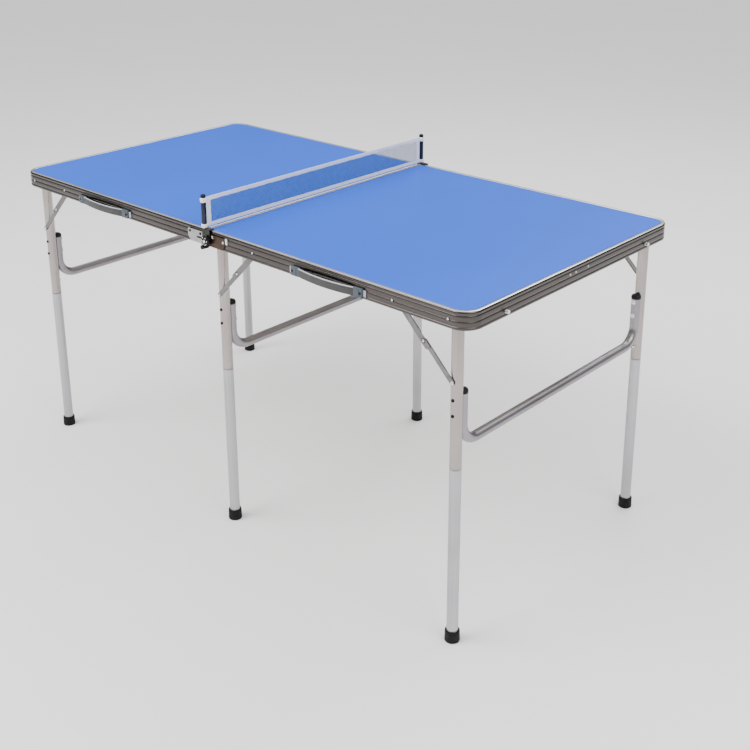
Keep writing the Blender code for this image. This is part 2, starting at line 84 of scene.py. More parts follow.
PLATE = 0.002  # the thickness of the hinge plates and the net brackets
HINGE_FACE = FACE + GAP
BRACKET_FACE = FACE + GAP + PLATE + GAP


# ---------------------------------------------------------------- materials


def grain(nodes, links, stretch, scale=1.0, detail=4.0):
    """Noise in the piece's own coordinates, drawn out along an axis whose stretch is small."""
    where = nodes.new("ShaderNodeTexCoord")
    fit = nodes.new("ShaderNodeMapping")
    fit.inputs["Scale"].default_value = stretch
    tex = nodes.new("ShaderNodeTexNoise")
    tex.inputs["Scale"].default_value = scale
    tex.inputs["Detail"].default_value = detail
    links.new(where.outputs["Object"], fit.inputs["Vector"])
    links.new(fit.outputs["Vector"], tex.inputs["Vector"])
    return tex.outputs["Fac"]


def spread(nodes, links, value, low, high, start=0.3, end=0.7):
    fit = nodes.new("ShaderNodeMapRange")
    fit.inputs["From Min"].default_value = start
    fit.inputs["From Max"].default_value = end
    fit.inputs["To Min"].default_value = low
    fit.inputs["To Max"].default_value = high
    links.new(value, fit.inputs["Value"])
    return fit.outputs["Result"]


def look(name, dark, light, rough, stretch, blotch, bump, depth=0.0001, metallic=0.0, **sockets):
    """A material whose colour runs between two shades on fine grain over broad blotches, with grain in its
    roughness and its bump."""
    made = bpy.data.materials.new(name)
    made.use_nodes = True
    nodes, links = made.node_tree.nodes, made.node_tree.links
    shader = nodes["Principled BSDF"]
    fine = grain(nodes, links, stretch)
    broad = grain(nodes, links, (1, 1, 1), blotch, 3)
    both = nodes.new("ShaderNodeMix")
    both.data_type = "FLOAT"
    both.inputs["Factor"].default_value = 0.45
    links.new(fine, both.inputs["A"])
    links.new(broad, both.inputs["B"])
    ramp = nodes.new("ShaderNodeValToRGB")
    ramp.color_ramp.elements[0].position = 0.34
    ramp.color_ramp.elements[1].position = 0.66
    ramp.color_ramp.elements[0].color = (*dark, 1)
    ramp.color_ramp.elements[1].color = (*light, 1)
    links.new(both.outputs["Result"], ramp.inputs["Fac"])
    links.new(ramp.outputs["Color"], shader.inputs["Base Color"])
    links.new(spread(nodes, links, fine, *rough), shader.inputs["Roughness"])
    raised = nodes.new("ShaderNodeBump")
    raised.inputs["Strength"].default_value = bump
    raised.inputs["Distance"].default_value = depth
    links.new(fine, raised.inputs["Height"])
    links.new(raised.outputs["Normal"], shader.inputs["Normal"])
    shader.inputs["Metallic"].default_value = metallic
    for socket, value in sockets.items():
        shader.inputs[socket.replace("_", " ")].default_value = value
    return made


def metal(*values):
    """A look that is bare metal all over."""
    return look(*values, metallic=1.0)


def woven(name, dark, light, pitch=0.0007, rough=(0.75, 0.95), **sockets):
    """Cloth: two sets of threads across each other, in Y and Z."""
    made = bpy.data.materials.new(name)
    made.use_nodes = True
    nodes, links = made.node_tree.nodes, made.node_tree.links
    shader = nodes["Principled BSDF"]
    where = nodes.new("ShaderNodeTexCoord")
    threads = []
    for way in ("Y", "Z"):
        wave = nodes.new("ShaderNodeTexWave")
        wave.bands_direction = way
        wave.inputs["Scale"].default_value = 0.314 / pitch
        wave.inputs["Distortion"].default_value = 0.6
        wave.inputs["Detail"].default_value = 1.0
        links.new(where.outputs["Object"], wave.inputs["Vector"])
        threads.append(wave.outputs["Fac"])
    weave = nodes.new("ShaderNodeMath")
    weave.operation = "MULTIPLY"
    links.new(threads[0], weave.inputs[0])
    links.new(threads[1], weave.inputs[1])
    ramp = nodes.new("ShaderNodeValToRGB")
    ramp.color_ramp.elements[0].color = (*dark, 1)
    ramp.color_ramp.elements[1].color = (*light, 1)
    ramp.color_ramp.elements[1].position = 0.5
    links.new(weave.outputs["Value"], ramp.inputs["Fac"])
    links.new(ramp.outputs["Color"], shader.inputs["Base Color"])
    links.new(spread(nodes, links, grain(nodes, links, (1, 1, 1), 400, 2), *rough), shader.inputs["Roughness"])
    raised = nodes.new("ShaderNodeBump")
    raised.inputs["Strength"].default_value = 0.5
    raised.inputs["Distance"].default_value = 0.0002
    links.new(weave.outputs["Value"], raised.inputs["Height"])
    links.new(raised.outputs["Normal"], shader.inputs["Normal"])
    for socket, value in sockets.items():
        shader.inputs[socket.replace("_", " ")].default_value = value
    return made


RAIL = metal("rail_ribbed", (0.070, 0.062, 0.058), (0.100, 0.089, 0.084), (0.20, 0.30), (2, 2, 1500), 5, 0.10)
# the rail's lip is painted as a much lighter copy of the rail's metal: a painted highlight along the top edge
RAIL_LIP_HIGHLIGHT = metal("rail_lip_painted_highlight", (0.62, 0.61, 0.60), (0.80, 0.79, 0.78), (0.24, 0.36), (2, 2, 1500), 5, 0.08)
RAIL_BACK = metal("rail_inside", (0.42, 0.41, 0.40), (0.56, 0.55, 0.54), (0.38, 0.50), (2, 2, 1500), 5, 0.15)
# the upper tubes are the lower tubes' metal made darker and browner: a painted reflection of a brown surrounding
# over the metal's own tone
TUBE_UPPER_REFLECTION_TINT = metal("tube_upper", (0.30, 0.265, 0.250), (0.42, 0.375, 0.358), (0.18, 0.28), (1100, 1100, 4), 7, 0.12)
TUBE_LOWER = metal("tube_lower", (0.38, 0.37, 0.39), (0.52, 0.505, 0.53), (0.28, 0.40), (1100, 1100, 4), 7, 0.12)
TUBE_CROSS = metal("tube_crossbar", (0.25, 0.235, 0.25), (0.35, 0.33, 0.35), (0.28, 0.42), (1100, 6, 500), 7, 0.10)
BRACKET = metal("bracket_dark", (0.030, 0.032, 0.028), (0.065, 0.068, 0.060), (0.26, 0.42), (60, 60, 60), 40, 0.10)
ZINC = metal("zinc_plate", (0.30, 0.29, 0.29), (0.44, 0.43, 0.43), (0.24, 0.42), (60, 60, 60), 40, 0.10)
PLATE_WARM = metal("plate_warm", (0.050, 0.031, 0.023), (0.092, 0.060, 0.046), (0.26, 0.42), (60, 60, 60), 40, 0.10)
BRACE_METAL = metal("brace_steel", (0.14, 0.134, 0.136), (0.23, 0.22, 0.222), (0.26, 0.40), (90, 900, 90), 30, 0.10)
# also the six small domes on the hand knob's face, which are painted glints
CHROME_AND_GLINT_DOTS = metal("chrome_and_painted_glints", (0.72, 0.72, 0.72), (0.88, 0.88, 0.88), (0.08, 0.16), (50, 50, 50), 30, 0.03)
RIVET = metal("rivet_steel", (0.62, 0.61, 0.60), (0.80, 0.79, 0.78), (0.20, 0.34), (300, 300, 300), 60, 0.06)
# also the dark rings under the bright rivets at the leg and brace pivots, which are painted shadow round the rivet
# heads
DARK_BOLT_AND_SHADOW_RING = metal("dark_bolt_and_painted_shadow", (0.012, 0.011, 0.011), (0.035, 0.032, 0.031), (0.28, 0.45), (400, 400, 400), 80, 0.10)
POST = look(
    "post_dark_steel", (0.018, 0.020, 0.030), (0.045, 0.050, 0.070), (0.25, 0.36), (800, 800, 6), 30, 0.08,
    metallic=0.9,
)
RUBBER = look(
    "foot_rubber", (0.003, 0.003, 0.003), (0.009, 0.009, 0.009), (0.50, 0.66), (700, 700, 700), 60, 0.25,
    Specular_IOR_Level=0.18,
)
PLASTIC = look(
    "black_plastic", (0.004, 0.004, 0.004), (0.010, 0.010, 0.010), (0.36, 0.50), (900, 900, 900), 60, 0.15,
    Specular_IOR_Level=0.22,
)
STRAP = look("handle_strap", (0.026, 0.025, 0.026), (0.044, 0.042, 0.044), (0.38, 0.52), (700, 900, 900), 40, 0.20)
BLOCK = look("handle_block", (0.046, 0.060, 0.078), (0.072, 0.090, 0.110), (0.36, 0.50), (900, 900, 900), 40, 0.18)
# also the light band along the handle strap's top edge, which is a painted highlight
TAB_AND_EDGE_HIGHLIGHT = look("handle_tab_and_painted_highlight", (0.34, 0.36, 0.40), (0.46, 0.48, 0.52), (0.35, 0.50), (900, 900, 900), 40, 0.15)
BLUE = look(
    "top_blue", (0.008, 0.086, 0.560), (0.013, 0.099, 0.620), (0.36, 0.46), (500, 500, 500), 2.5, 0.12,
    depth=0.00006, Specular_IOR_Level=0.25,
)
BACKING = look(
    "panel_backing", (0.44, 0.40, 0.34), (0.56, 0.52, 0.45), (0.70, 0.85), (20, 320, 320), 9, 0.35,
    depth=0.0002,
)
STRAND = look("net_strand", (0.030, 0.090, 0.250), (0.058, 0.150, 0.370), (0.60, 0.80), (900, 900, 900), 80, 0.30)
TAPE = woven("net_tape", (0.84, 0.84, 0.91), (0.93, 0.93, 0.98), Sheen_Weight=0.25)
STITCH = look("net_stitch", (0.60, 0.60, 0.60), (0.74, 0.74, 0.74), (0.80, 0.95), (900, 900, 900), 80, 0.30)


# ---------------------------------------------------------------- shapes


class Shape:
    """Closed parts gathered into one mesh. Each part says which of the piece's looks it takes."""

    def __init__(self):
        self.verts, self.faces, self.looks = [], [], []

    def add(self, part, look_at=0, matrix=None):
        verts, faces = part
        first = len(self.verts)
        self.verts += [matrix @ Vector(v) if matrix else Vector(v) for v in verts]
        self.faces += [tuple(first + i for i in face) for face in faces]
        self.looks += list(look_at) if hasattr(look_at, "__len__") else [look_at] * len(faces)
        return self


def from_bmesh(bm):
    bm.verts.ensure_lookup_table()
    bm.verts.index_update()
    part = [v.co.copy() for v in bm.verts], [tuple(v.index for v in f.verts) for f in bm.faces]
    bm.free()
    return part


def lathe(profile, at=(0, 0, 0), axis=(0, 0, 1), steps=48, closed=False, reach=None):
    """A profile of (radius, height) turned about an axis through a point. reach(turn) scales the radius."""
    turn = Vector(axis).to_track_quat("Z", "Y").to_matrix()
    at = Vector(at)
    verts, rings, faces = [], [], []
    for radius, height in profile:
        if radius < 1e-7:
            rings.append([len(verts)] * steps)
            verts.append(at + turn @ Vector((0, 0, height)))
            continue
        rings.append(list(range(len(verts), len(verts) + steps)))
        for i in range(steps):
            t = 2 * math.pi * i / steps
            r = radius * (reach(t) if reach else 1)
            verts.append(at + turn @ Vector((r * math.cos(t), r * math.sin(t), height)))
    pairs = list(zip(rings, rings[1:])) + ([(rings[-1], rings[0])] if closed else [])
    for a, b in pairs:
        for i in range(steps):
            j = (i + 1) % steps
            corners = [a[i], a[j], b[j], b[i]]
            face = tuple(dict.fromkeys(corners))
            if len(face) > 2:
                faces.append(face)
    return verts, faces


def block(low, high, bevel=0.0006, segments=2):
    bm = bmesh.new()
    bmesh.ops.create_cube(bm, size=1)
    low, high = Vector(map(min, low, high)), Vector(map(max, low, high))
    bmesh.ops.scale(bm, vec=high - low, verts=bm.verts)
    bmesh.ops.translate(bm, vec=(low + high) / 2, verts=bm.verts)
    bmesh.ops.bevel(bm, geom=bm.edges[:], offset=bevel, segments=segments, profile=0.6, affect="EDGES")
    return from_bmesh(bm)


def plate(outline, low, high, matrix, bevel):
    """An outline in X and Y, from one height to another, with its rims rounded, then placed."""
    bm = bmesh.new()
    base = bm.faces.new([bm.verts.new((x, y, low)) for x, y in outline])
    top = bmesh.ops.extrude_face_region(bm, geom=[base])["geom"]
    bmesh.ops.translate(bm, vec=(0, 0, high - low), verts=[v for v in top if isinstance(v, bmesh.types.BMVert)])
    bmesh.ops.recalc_face_normals(bm, faces=bm.faces)
    rims = [e for e in bm.edges if e.calc_face_angle(0) > math.radians(25)]
    bmesh.ops.bevel(bm, geom=rims, offset=bevel, segments=2, profile=0.6, affect="EDGES")
    bmesh.ops.transform(bm, matrix=matrix, verts=bm.verts)
    return from_bmesh(bm)


def arc(x, y, radius, start, end, steps):
    turns = [math.radians(start + (end - start) * i / steps) for i in range(steps + 1)]
    return [(x + radius * math.cos(t), y + radius * math.sin(t)) for t in turns]


def on_side(sign, at=(0, 0, 0)):
    """Puts an outline drawn in X and Z on a side rail, with its height pointing away from the table."""
    return Matrix.Translation(at) @ Matrix(((1, 0, 0, 0), (0, 0, sign, 0), (0, 1, 0, 0), (0, 0, 0, 1)))


def rivet(at, axis, radius=0.0040, height=0.0014, steps=28):
    """A low domed head standing on a point."""
    turns = [math.radians(90 * i / 6) for i in range(7)]
    dome = [(radius * math.cos(t), height * math.sin(t)) for t in turns[:-1]]
    return lathe([(0, -0.0004), (radius * 0.9, -0.0004), *dome, (0, height)], at, axis, steps)


def screw_head(at, axis, radius, height):
    """A pan head with a round recess."""
    profile = [(0, -0.0004), (radius, -0.0004), (radius, height * 0.45), (radius * 0.82, height * 0.9)]
    profile += [(radius * 0.5, height), (radius * 0.42, height), (radius * 0.34, height * 0.35), (0, height * 0.3)]
    return lathe(profile, at, axis, 24)


def hexagon(at, axis, radius, height):
    profile = [(0, -0.0004), (radius, -0.0004), (radius, height * 0.8), (radius * 0.86, height), (0, height)]
    return lathe(profile, at, axis, 6)


def quads(rings, count, closed=False):
    """Faces that join each ring of points to the next and, where closed, the last to the first."""
    faces = []
    for ring in range(rings if closed else rings - 1):
        a, b = ring * count, (ring + 1) % rings * count
        for i in range(count):
            j = (i + 1) % count
            faces.append((a + i, a + j, b + j, b + i))
    return faces


def ends(total, count):
    """Faces that close the first and the last ring."""
    return [tuple(range(count)), tuple(reversed(range(total - count, total)))]


def swept(route, radius, sides=32, push=None):
    """A round bar along a list of points. push moves each point of its skin."""
    route = [Vector(p) for p in route]
    verts = []
    normal = None
    for i, at in enumerate(route):
        ahead = (route[min(i + 1, len(route) - 1)] - route[max(i - 1, 0)]).normalized()
        if normal is None:
            normal = ahead.orthogonal().normalized()
        normal = (normal - ahead * normal.dot(ahead)).normalized()
        other = ahead.cross(normal)
        for k in range(sides):
            t = 2 * math.pi * k / sides
            skin = at + (normal * math.cos(t) + other * math.sin(t)) * radius
            verts.append(push(skin) if push else skin)
    return verts, quads(len(route), sides) + ends(len(verts), sides)


def cut(part, *cutters):
    """A part with others taken out of it."""

    def temporary(data):
        mesh = bpy.data.meshes.new("cut")
        mesh.from_pydata(data[0], [], data[1])
        bm = bmesh.new()
        bm.from_mesh(mesh)
        bmesh.ops.recalc_face_normals(bm, faces=bm.faces)
        bm.to_mesh(mesh)
        bm.free()
        obj = bpy.data.objects.new("cut", mesh)
        bpy.context.scene.collection.objects.link(obj)
        return obj

    body = temporary(part)
    others = [temporary(c) for c in cutters]
    for other in others:
        taken = body.modifiers.new("cut", "BOOLEAN")
        taken.operation = "DIFFERENCE"
        taken.solver = "EXACT"
        taken.object = other
    bpy.context.view_layer.update()
    mesh = bpy.data.meshes.new_from_object(body.evaluated_get(bpy.context.evaluated_depsgraph_get()))
    left = [v.co.copy() for v in mesh.vertices], [tuple(f.vertices) for f in mesh.polygons]
    bpy.data.meshes.remove(mesh)
    for obj in (body, *others):
        bpy.data.objects.remove(obj)
    return left


def piece(name, shape, looks, body, replaces=(), angle=38, weighted=True):
    mesh = bpy.data.meshes.new(name)
    mesh.from_pydata([tuple(v) for v in shape.verts], [], shape.faces)
    for i, index in enumerate(shape.looks):
        mesh.polygons[i].material_index = index
    bm = bmesh.new()
    bm.from_mesh(mesh)
    bmesh.ops.recalc_face_normals(bm, faces=bm.faces)
    bm.to_mesh(mesh)
    bm.free()
    for each in looks if isinstance(looks, (list, tuple)) else [looks]:
        mesh.materials.append(each)
    mesh.shade_smooth()
    mesh.set_sharp_from_angle(angle=math.radians(angle))
    obj = bpy.data.objects.new(name, mesh)
    bpy.context.scene.collection.objects.link(obj)
    if weighted:
        normals = obj.modifiers.new("normals", "WEIGHTED_NORMAL")
        normals.keep_sharp = True
    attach(obj, body)
    if replaces:
        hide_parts(*replaces)
    return obj


# ---------------------------------------------------------------- half tops


def half_outline(sign, inset, steps=24):
    inner, outer = GAP + max(inset - 0.004, 0.6 * inset), END - inset
    edge = FACE - inset
    wide, tight = max(CORNER - inset, 0.001), max(TIGHT - inset, 0.001)
    points = arc(outer - wide, -edge + wide, wide, -90, 0, steps)
    points += arc(outer - wide, edge - wide, wide, 0, 90, steps)
    points += arc(inner + tight, edge - tight, tight, 90, 180, steps // 2)
    points += arc(inner + tight, -edge + tight, tight, 180, 270, steps // 2)
    return [(sign * x, y) for x, y in points]


def rib(low, high, depth, steps=8):
    """A rounded rib of the rail, as (inset, height), which stands out from grooves on both sides."""
    spots = [i / steps for i in range(steps + 1)]
    return [(depth * abs(2 * t - 1) ** 4, low + (high - low) * t) for t in spots]


def rail_profile():
    """(inset, height, look) round the rail's section, from its foot up the outside and back down inside."""
    outside = [(0.0060, LOW), (0.0022, LOW), (0.0010, LOW + 0.0006)]
    outside += rib(LOW + 0.0010, LOW + 0.0062, 0.0006)
    outside += [(0.0010, LOW + 0.0065), (0.0010, LOW + 0.0075)]
    outside += rib(LOW + 0.0078, LOW + 0.0182, 0.0007, 12)
    outside += [(0.0010, LOW + 0.0185), (0.0010, LOW + 0.0195)]
    outside += rib(LOW + 0.0198, LOW + 0.0302, 0.0007, 12)
    outside += [(0.0011, LOW + 0.0305), (0.0011, LOW + 0.0313)]
    outside += [(0.0010, LOW + 0.0317), (0.0003, LOW + 0.0328), (0.0, LOW + 0.0345), (0.0002, LOW + 0.0362)]
    profile = [(*p, 0) for p in [*outside, (0.0009, LOW + 0.0377)]]
    # the lip takes the lighter copy of the metal, a painted highlight on the rail's top edge
    lip = [(0.0020, LOW + 0.0388), (0.0036, TOP - 0.0001), (0.0052, TOP)]
    lip += [(0.0075, TOP - 0.0001), (0.0093, TOP - 0.0005), (LIP, TOP - 0.0012), (LIP, LEDGE_Z)]
    profile += [(*p, 1) for p in lip]
    inside = [(LEDGE, LEDGE_Z), (LEDGE, LEDGE_Z - 0.0018), (WALL + 0.001, LEDGE_Z - 0.0018)]
    inside += [(WALL, LEDGE_Z - 0.003), (WALL, LOW + WALL + 0.001), (WALL + 0.0008, LOW + WALL)]
    inside += [(0.0060, LOW + WALL)]
    return profile + [(*p, 2) for p in inside]


def rail(shape, sign):
    profile = rail_profile()
    rings = [[(x, y, height) for x, y in half_outline(sign, inset)] for inset, height, _ in profile]
    count = len(rings[0])
    verts = [v for ring in rings for v in ring]
    looks = [look_at for _, _, look_at in profile for _ in range(count)]
    shape.add((verts, quads(len(rings), count, closed=True)), looks)


def pins(shape, half):
    """The pivots that the half's leg frames and braces hang on."""
    for across in SIDES.values():
        out = (0, across, 0)
        for name, reach in FRAMES.items():
            if (name == "left") != (half == "left"):
                continue
            x = LEG_X[name]
            wall = across * (FACE - WALL - 0.0004)
            pin_end = across * (LEG_Y - LEG_R - 0.0036)
            shape.add(swept([(x, wall, PIVOT_Z), (x, pin_end, PIVOT_Z)], 0.0030, 24), 3)
            shape.add(rivet((x, pin_end, PIVOT_Z), (0, -across, 0), 0.0050, 0.0012), 3)
            collar = [(0.0031, 0), (0.0068, 0), (0.0072, 0.0012), (0.0072, 0.0150), (0.0031, 0.0150)]
            shape.add(lathe(collar, (x, wall, PIVOT_Z), (0, -across, 0), 32, closed=True), 3)
            # a dark ring under the pivot's rivet head: painted shadow
            shape.add(rivet((x, across * (FACE - 0.0004), PIVOT_Z), out, 0.0046, 0.0007), 4)
            shape.add(rivet((x, across * (FACE + 0.0001), PIVOT_Z), out, 0.0029, 0.0014), 3)
            a = x + reach * BRACE
            shape.add(swept([(a, wall, PIVOT_Z), (a, across * BRACE_PIN_END, PIVOT_Z)], 0.0024, 20), 3)
            shape.add(rivet((a, across * 0.3645, PIVOT_Z), (0, -across, 0), 0.0040, 0.0012), 3)
            collar = [(0.0025, 0), (0.0050, 0), (0.0050, 0.0098), (0.0025, 0.0098)]
            shape.add(lathe(collar, (a, wall, PIVOT_Z), (0, -across, 0), 28, closed=True), 3)
            # a dark ring under the pivot's rivet head: painted shadow
            shape.add(rivet((a, across * (FACE - 0.0004), PIVOT_Z), out, 0.0042, 0.0007), 4)
            shape.add(rivet((a, across * (FACE + 0.0001), PIVOT_Z), out, 0.0026, 0.0014), 3)


def end_studs(shape):
    """What stands out of the right end rail: the two latch studs, and small rivets."""
    reach = RAIL_HIGH.x - END
    for across in SIDES.values():
        stud = [(0, 0), (0.0042, 0), (0.0042, 0.0012), (0.0023, 0.0016), (0.0023, 0.0050), (0.0040, 0.0054)]
        stud += [(0.0043, 0.0062), (0.0036, reach - 0.0002), (0, reach)]
        shape.add(lathe(stud, (END, across * LATCH_Y, LATCH_Z), (1, 0, 0), 28), 3)
    for y in (-0.041, -0.020, 0.0265):
        shape.add(rivet((END - 0.0005, y, 0.745), (1, 0, 0), 0.0026, 0.0013), 3)


def half_top(half, sign):
    shape = Shape()
    rail(shape, sign)
    pins(shape, half)
    if half == "right":
        end_studs(shape)
    piece(f"rail_{half}", shape, [RAIL, RAIL_LIP_HIGHLIGHT, RAIL_BACK, RIVET, DARK_BOLT_AND_SHADOW_RING], f"{half}_half",
          [f"rail_frame_{half}"], angle=32)
    playing_top(half, sign)
    batten(half)


def playing_top(half, sign):
    low, high = PANEL_LOW.z, PANEL_HIGH.z
    panel = Shape()
    rims = [(LIP + GAP, low), (LIP + GAP, high - 0.0005), (LIP + GAP + 0.0005, high)]
    rings = [[(x, y, z) for x, y in half_outline(sign, inset)] for inset, z in rims]
    count = len(rings[0])
    verts = [v for ring in rings for v in ring]
    faces = quads(len(rings), count)
    looks = [0] * len(faces) + [0, 1]
    faces += [tuple(range(2 * count, 3 * count)), tuple(range(count))]
    panel.add((verts, faces), looks)
    piece(f"playing_top_{half}", panel, [BLUE, BACKING], f"{half}_half", [f"top_panel_{half}"])


def batten(half):
    low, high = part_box(f"batten_{half}")
    t = 0.0014
    section = [(-0.020, high.z), (-0.020, high.z - t), (-0.011, high.z - t), (-0.0095, low.z)]
    section += [(0.0095, low.z), (0.011, high.z - t), (0.020, high.z - t), (0.020, high.z)]
    stand = Matrix(((0, 0, 1, 0), (1, 0, 0, 0), (0, 1, 0, 0), (0, 0, 0, 1)))
    bar = Shape().add(plate(section, low.x, high.x, stand, 0.0005))
    for k in range(6):
        x = low.x + (high.x - low.x) * (k + 0.5) / 6
        for y in (-0.0155, 0.0155):
            bar.add(rivet((x, y, high.z - t), (0, 0, -1), 0.0028, 0.0010, 20), 1)
    piece(f"underside_batten_{half}", bar, [RAIL_BACK, RIVET], f"{half}_half",
          [f"batten_{half}"])


# ---------------------------------------------------------------- legs


def nest(x, y, radius):
    """Keeps a skin clear of the leg that a crossbar's upright is pressed against."""

    def push(at):
        for sign in (-1, 1):
            away = Vector((at.x - x, at.y - sign * y))
            if away.length < radius:
                away = away.normalized() * radius
                at = Vector((x + away.x, sign * y + away.y, at.z))
        return at

    return push


def crossbar(name):
    x = LEG_X[name]
    body = f"legs_{name}"
    end_y, low_z, top_z, bend = 0.3295, 0.455, 0.569, 0.045
    corner = arc(end_y - bend, low_z + bend, bend, 0, -90, 18)
    rise = [(end_y, top_z - (top_z - low_z - bend) * i / 8) for i in range(8)]
    half = [(x, y, z) for y, z in rise + corner]
    route = half + [(x, y, low_z) for y in (0.14, 0, -0.14)] + [(x, -y, z) for _, y, z in reversed(half)]
    push = nest(x, LEG_Y, LEG_R + 0.0004)
    shape = Shape().add(swept(route, 0.0110, 40, push))
    for sign in SIDES.values():
        cap = [(0, -0.0005), (0.0116, -0.0005), (0.0117, 0.0030), (0.0113, 0.0055), (0.0098, 0.0080)]
        cap += [(0.0066, 0.0097), (0.0030, 0.0102), (0.0026, 0.0112), (0.0016, 0.0118), (0, 0.0119)]
        verts, faces = lathe(cap, (x, sign * end_y, top_z), steps=40)
        shape.add(([push(v) for v in verts], faces), 1)
        for z in BOLT_HEIGHTS:
            washer = [(0, 0), (0.0052, 0), (0.0054, 0.0005), (0.0050, 0.0010), (0, 0.0010)]
            shape.add(lathe(washer, (x, sign * (end_y - 0.0110), z), (0, -sign, 0), 28), 2)
            shape.add(rivet((x, sign * (end_y - 0.0119), z), (0, -sign, 0), 0.0034, 0.0022), 2)
    piece(f"cross_tube_{name}", shape, [TUBE_CROSS, PLASTIC, RIVET], body, [f"crossbar_{name}"])


def upper_tube(name, side, sign):
    x, y = LEG_X[name], sign * LEG_Y
    turns = [math.radians(90 * i / 10) for i in range(11)]
    profile = [(LEG_R * math.sin(t), PIVOT_Z + 0.0120 * math.cos(t)) for t in turns]
    profile[0] = (0, profile[0][1])
    profile += [(LEG_R, SEAM + 0.0016), (LEG_R - 0.0003, SEAM + 0.0009), (LEG_R - 0.0010, SEAM + GAP)]
    profile += [(TUBE_BORE, SEAM + GAP), (TUBE_BORE, 0.716), (0, 0.722)]
    tube = lathe(profile, (x, y, 0), steps=56)
    out, into = sign * (LEG_Y + 0.02), sign * (LEG_Y - 0.02)
    pivot = swept([(x, out, PIVOT_Z), (x, into, PIVOT_Z)], 0.0034, 24)
    window = swept([(x, y, BUTTON_Z), (x, into, BUTTON_Z)], 0.0044, 28)
    shape = Shape().add(cut(tube, pivot, window))
    stud_z = PIVOT_Z - BRACE
    face = sign * (LEG_Y + 0.0118)
    shape.add(swept([(x, face, stud_z), (x, sign * BRACE_PIN_END, stud_z)], 0.0024, 20), 1)
    shape.add(rivet((x, sign * 0.3638, stud_z), (0, sign, 0), 0.0042, 0.0015), 1)
    for z in BOLT_HEIGHTS:
        washer = [(0, 0), (0.0038, 0), (0.0038, 0.0006), (0, 0.0006)]
        shape.add(lathe(washer, (x, sign * (LEG_Y + 0.0121), z), (0, sign, 0), 24), 2)
        shape.add(hexagon((x, sign * (LEG_Y + 0.0128), z), (0, sign, 0), 0.0033, 0.0022), 2)
    ring = [(LEG_R - 0.0004, -0.0007), (LEG_R + 0.00022, -0.0004), (LEG_R + 0.00022, 0.0004)]
    ring += [(LEG_R - 0.0004, 0.0007)]
    shape.add(lathe(ring, (x, y, SEAM + 0.0042), steps=56, closed=True))
    piece(f"tube_upper_{name}_{side}", shape, [TUBE_UPPER_REFLECTION_TINT, RIVET, DARK_BOLT_AND_SHADOW_RING], f"legs_{name}",
          [f"leg_upper_{name}_{side}"])


def lower_tube(name, side, sign):
    x, y = LEG_X[name], sign * LEG_Y
    profile = [(0.0098, 0.470), (0.0104, 0.4705), (0.0110, 0.4695), (0.0110, SEAM), (LEG_R - 0.0012, SEAM)]
    profile += [(LEG_R - 0.0004, SEAM - 0.0004), (LEG_R, SEAM - 0.0014), (LEG_R, 0.0043), (TUBE_BORE, 0.0043)]
    profile += [(TUBE_BORE, SEAM - 0.008), (0.0098, SEAM)]
    tube = lathe(profile, (x, y, 0), steps=56, closed=True)
    hole = swept([(x, y, BUTTON_Z), (x, sign * (LEG_Y - 0.02), BUTTON_Z)], 0.0046, 28)
    shape = Shape().add(cut(tube, hole))
    piece(f"tube_lower_{name}_{side}", shape, TUBE_LOWER, f"lower_leg_{name}_{side}",
          [f"leg_lower_{name}_{side}"])

    r, h = 0.0165, 0.026
    foot = [(0, 0.0040), (LEG_R + GAP, 0.0040), (LEG_R + GAP, h - 0.0004), (LEG_R + GAP + 0.0006, h)]
    foot += [(r - 0.0018, h), (r - 0.0009, h - 0.0004), (r - 0.0006, h - 0.0014), (r - 0.0006, h - 0.0040)]
    foot += [(r - 0.0013, h - 0.0044), (r - 0.0013, h - 0.0052), (r - 0.0004, h - 0.0057)]
    foot += [(r - 0.0001, 0.0062), (r - 0.0007, 0.0058), (r - 0.0007, 0.0050), (r, 0.0045), (r, 0.0018)]
    foot += [(r - 0.0005, 0.0006), (r - 0.0018, 0), (0.0085, 0), (0.0080, 0.0010), (0, 0.0010)]
    piece(f"foot_cap_{name}_{side}", Shape().add(lathe(foot, (x, y, 0), steps=56)), RUBBER,
          f"lower_leg_{name}_{side}", [f"foot_{name}_{side}"])


def button(name, side, sign):
    low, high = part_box(f"snap_button_{name}_{side}")
    at = middle(f"snap_button_{name}_{side}")
    base = low.y if sign < 0 else high.y
    turns = [math.radians(90 * i / 8) for i in range(9)]
    dome = [(0.0037 * math.cos(t), 0.0016 + 0.0023 * math.sin(t)) for t in turns[:-1]]
    shape = Shape().add(lathe([(0, 0), (0.0038, 0), (0.0038, 0.0014), *dome, (0, 0.0039)], (at.x, base, at.z),
                              (0, -sign, 0), 32))
    piece(f"spring_button_{name}_{side}", shape, CHROME_AND_GLINT_DOTS, f"button_{name}_{side}",
          [f"snap_button_{name}_{side}"])


